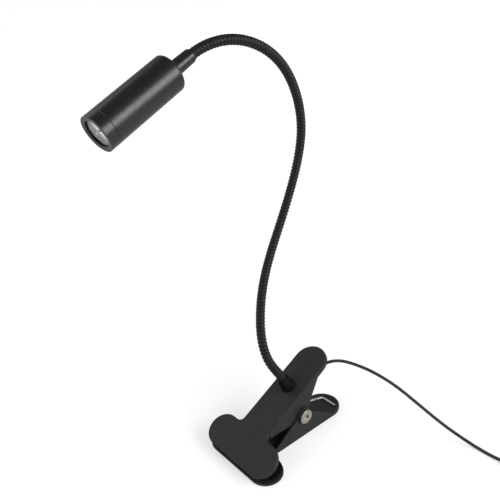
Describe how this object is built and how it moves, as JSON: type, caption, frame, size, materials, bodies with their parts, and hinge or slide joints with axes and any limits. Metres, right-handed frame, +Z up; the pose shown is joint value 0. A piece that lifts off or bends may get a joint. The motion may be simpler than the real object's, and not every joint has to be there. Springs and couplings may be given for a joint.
{
  "type": "clip-on reading lamp",
  "caption": "Black clip-on reading lamp: slim tubular spot head on a ribbed gooseneck rising from a sprung T-shaped clip, with a thin low-voltage cord, cord switch and plug.",
  "frame": {"origin": "middle of the clip's grip, on the line where the two jaws' front edges meet", "axes": "+X from the jaws' front edge to the handle ends, +Z up, square to the lower jaw's outer face, +Y to the far side"},
  "size_m": [0.2586, 0.332, 0.3147],
  "materials": {
    "jaw_plastic": "satin",
    "grip_rubber": "matte",
    "bright_steel": "satin",
    "spring_steel": "satin",
    "plated_fixings": "satin",
    "neck_black": "satin",
    "head_black": "satin",
    "cord_black": "satin",
    "black_plastic": "satin",
    "clear_lens": "clear",
    "mirror_cup": "mirror",
    "led_yellow": "satin",
    "slug_metal": "satin",
    "contact_brass": "polished",
    "white_plastic": "satin"
  },
  "bodies": {
    "clip_upper": {"upper_jaw": "jaw_plastic", "upper_pad": "grip_rubber", "clip_spring": "spring_steel", "neck_stud": "plated_fixings", "neck_collar": "grip_rubber", "neck_washer": "plated_fixings", "neck_nut": "plated_fixings", "cord_gland": "grip_rubber", "neck_link_1": "neck_black", "neck_lead_1": "cord_black", "cord": "cord_black", "cord_to_coil": "cord_black", "cord_coil": "cord_black", "cord_to_plug": "cord_black", "cord_tie": "black_plastic", "switch_base": "black_plastic", "switch_cover": "black_plastic", "switch_contacts": "contact_brass", "plug_grip": "black_plastic", "plug_shell": "spring_steel", "plug_tongue": "white_plastic", "plug_contacts": "contact_brass"},
    "clip_lower": {"lower_jaw": "jaw_plastic", "lower_pad": "grip_rubber", "pivot_bolt": "bright_steel", "pivot_nut": "bright_steel"},
    "neck_2": {"neck_link_2": "neck_black", "neck_lead_2": "cord_black"},
    "neck_3": {"neck_link_3": "neck_black", "neck_lead_3": "cord_black"},
    "neck_4": {"neck_link_4": "neck_black", "neck_lead_4": "cord_black"},
    "neck_5": {"neck_link_5": "neck_black", "neck_lead_5": "cord_black"},
    "neck_6": {"neck_link_6": "neck_black", "neck_lead_6": "cord_black"},
    "neck_7": {"neck_link_7": "neck_black", "neck_lead_7": "cord_black"},
    "neck_8": {"neck_link_8": "neck_black", "neck_lead_8": "cord_black"},
    "neck_9": {"neck_link_9": "neck_black", "neck_lead_9": "cord_black"},
    "head": {"neck_link_10": "neck_black", "neck_lead_10": "cord_black", "head_ferrule": "head_black", "ferrule_nut": "plated_fixings", "head_barrel": "head_black", "front_bezel": "head_black", "lens": "clear_lens", "reflector": "mirror_cup", "led_emitter": "led_yellow", "led_board": "slug_metal", "heat_slug": "slug_metal"},
    "rocker": {"switch_rocker": "black_plastic"}
  },
  "joints": [
    {"name": "clip_hinge", "type": "hinge", "parent": "clip_upper", "child": "clip_lower", "pos_m": [0.06525, 0, 0.01627], "axis": [0, -1, 0], "range_deg": [0, 30], "stiffness_Nm_per_rad": 0.9, "springref_deg": -28.65, "deforming": ["clip_spring"]},
    {"name": "neck_bend_1", "type": "hinge", "parent": "clip_upper", "child": "neck_2", "pos_m": [0.0528, 0.00104, 0.05744], "axis": [0.1288, 0.9619, -0.2412], "range_deg": [-25, 25]},
    {"name": "neck_sway_2", "type": "hinge", "parent": "neck_2", "child": "neck_3", "pos_m": [0.05604, 0.02205, 0.09345], "axis": [-0.8065, 0, 0.5912], "range_deg": [-25, 25]},
    {"name": "neck_bend_3", "type": "hinge", "parent": "neck_3", "child": "neck_4", "pos_m": [0.08284, 0.04393, 0.12072], "axis": [-0.2957, 0.9153, -0.2734], "range_deg": [-25, 25]},
    {"name": "neck_sway_4", "type": "hinge", "parent": "neck_4", "child": "neck_5", "pos_m": [0.11179, 0.05603, 0.15157], "axis": [-0.7879, 0, 0.6158], "range_deg": [-25, 25]},
    {"name": "neck_bend_5", "type": "hinge", "parent": "neck_5", "child": "neck_6", "pos_m": [0.13321, 0.05878, 0.18973], "axis": [0.0192, 0.9981, 0.0578], "range_deg": [-25, 25]},
    {"name": "neck_sway_6", "type": "hinge", "parent": "neck_6", "child": "neck_7", "pos_m": [0.13647, 0.0524, 0.23277], "axis": [-0.9807, 0, -0.1955], "range_deg": [-25, 25]},
    {"name": "neck_bend_7", "type": "hinge", "parent": "neck_7", "child": "neck_8", "pos_m": [0.11882, 0.04458, 0.27215], "axis": [-0.0838, 0.9896, 0.1169], "range_deg": [-25, 25]},
    {"name": "neck_sway_8", "type": "hinge", "parent": "neck_8", "child": "neck_9", "pos_m": [0.08539, 0.04136, 0.29991], "axis": [-0.402, 0, -0.9157], "range_deg": [-25, 25]},
    {"name": "neck_bend_9", "type": "hinge", "parent": "neck_9", "child": "head", "pos_m": [0.0422, 0.04144, 0.30418], "axis": [-0.0233, 0.9997, -0.0053], "range_deg": [-25, 25]},
    {"name": "switch_rock", "type": "hinge", "parent": "clip_upper", "child": "rocker", "pos_m": [0.152, -0.19, 0.00297], "axis": [-1, 0, 0], "range_deg": [0, 14]}
  ]
}
